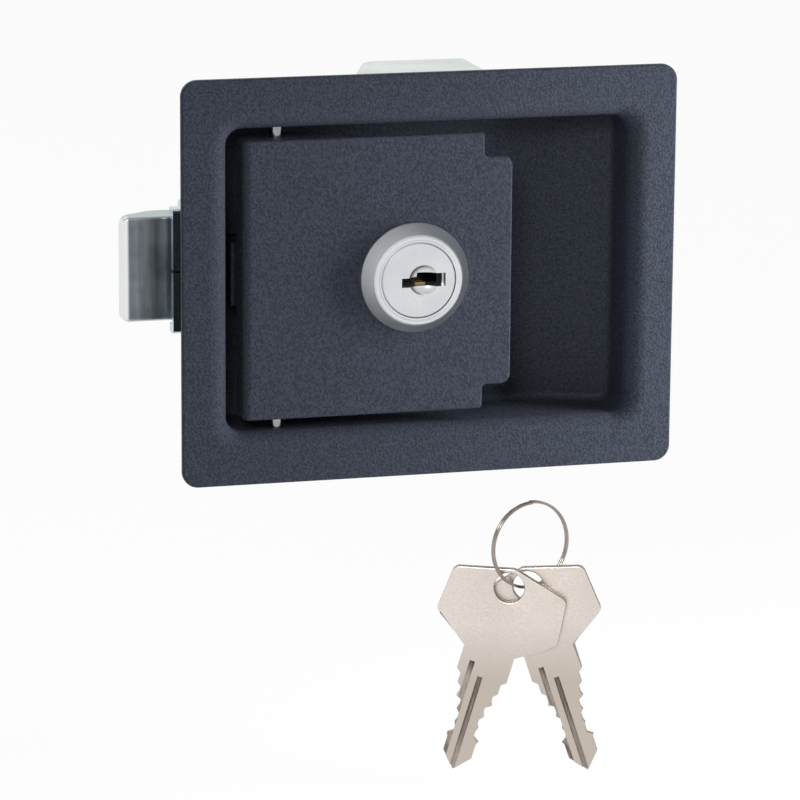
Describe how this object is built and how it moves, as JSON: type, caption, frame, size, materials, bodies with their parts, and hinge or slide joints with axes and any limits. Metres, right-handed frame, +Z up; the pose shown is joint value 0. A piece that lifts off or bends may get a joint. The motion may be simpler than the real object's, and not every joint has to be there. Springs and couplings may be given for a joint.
{
  "type": "paddle latch",
  "caption": "Flush rectangular paddle latch with a keyed lock in its hinged paddle, a sprung side bolt, a rear clamp strap and keys on a ring.",
  "frame": {"origin": "centre of the flange's back face, in the plane that seats on the front of the door", "axes": "+X from the bolt side to the finger side, +Y into the door, +Z up; the front faces -Y"},
  "size_m": [0.13, 0.0403, 0.1724],
  "materials": {
    "powder_coat": "dark slate textured powder coat",
    "zinc_plate": "bright zinc plate on folded steel",
    "bolt_steel": "zinc-plated bolt, lightly brushed",
    "satin_chrome": "satin chrome on die-cast zinc",
    "plug_nickel": "fine-brushed nickel",
    "wafer_brass": "rolled brass",
    "spring_steel": "drawn spring wire",
    "key_nickel": "brushed nickel on steel",
    "ring_steel": "polished spring steel"
  },
  "bodies": {
    "root": {"dish_pan": "powder_coat", "bolt_housing": "zinc_plate", "housing_rivets": "zinc_plate", "hinge_pin": "zinc_plate", "pin_clip": "spring_steel", "mounting_clamp": "zinc_plate", "clamp_studs": "zinc_plate", "clamp_washers": "zinc_plate", "clamp_nuts": "zinc_plate", "spring_peg": "zinc_plate", "bolt_spring": "spring_steel", "paddle_spring": "spring_steel", "key_ring": "ring_steel"},
    "paddle": {"paddle_plate": "powder_coat", "lock_body": "satin_chrome", "lock_washer": "zinc_plate", "lock_nut": "zinc_plate"},
    "plug": {"lock_plug": "plug_nickel", "wafers": "wafer_brass", "lock_cam": "zinc_plate", "cam_screw": "zinc_plate"},
    "bolt": {"latch_bolt": "bolt_steel"},
    "key_front": {"key_front": "key_nickel"},
    "key_back": {"key_back": "key_nickel"}
  },
  "joints": [
    {"name": "paddle_hinge", "type": "hinge", "parent": "root", "child": "paddle", "pos_m": [-0.036, 0.0052, 0], "axis": [0, 0, -1], "range_deg": [0, 30], "stiffness_Nm_per_rad": 0.1, "springref_deg": -20.05, "deforming": ["paddle_spring"]},
    {"name": "bolt_slide", "type": "slide", "parent": "root", "child": "bolt", "axis": [1, 0, 0], "range_m": [0, 0.0102], "stiffness_N_per_m": 400, "springref_m": -0.012, "deforming": ["bolt_spring"]},
    {"name": "plug_turn", "type": "hinge", "parent": "paddle", "child": "plug", "pos_m": [-0.0037, 0, -0.00055], "axis": [0, 1, 0], "range_deg": [0, 90]},
    {"name": "key_front_swing", "type": "hinge", "parent": "root", "child": "key_front", "pos_m": [0.02057, -0.00015, -0.0778], "axis": [0.3746, 0.9272, 0], "range_deg": [-76, 44]},
    {"name": "key_back_swing", "type": "hinge", "parent": "root", "child": "key_back", "pos_m": [0.02543, 0.00015, -0.0778], "axis": [0.3746, 0.9272, 0], "range_deg": [-41.6, 78.4]}
  ],
  "couplings": [
    {"joint": "bolt_slide", "follows": "paddle_hinge", "m_per_rad": 0.01948}
  ]
}
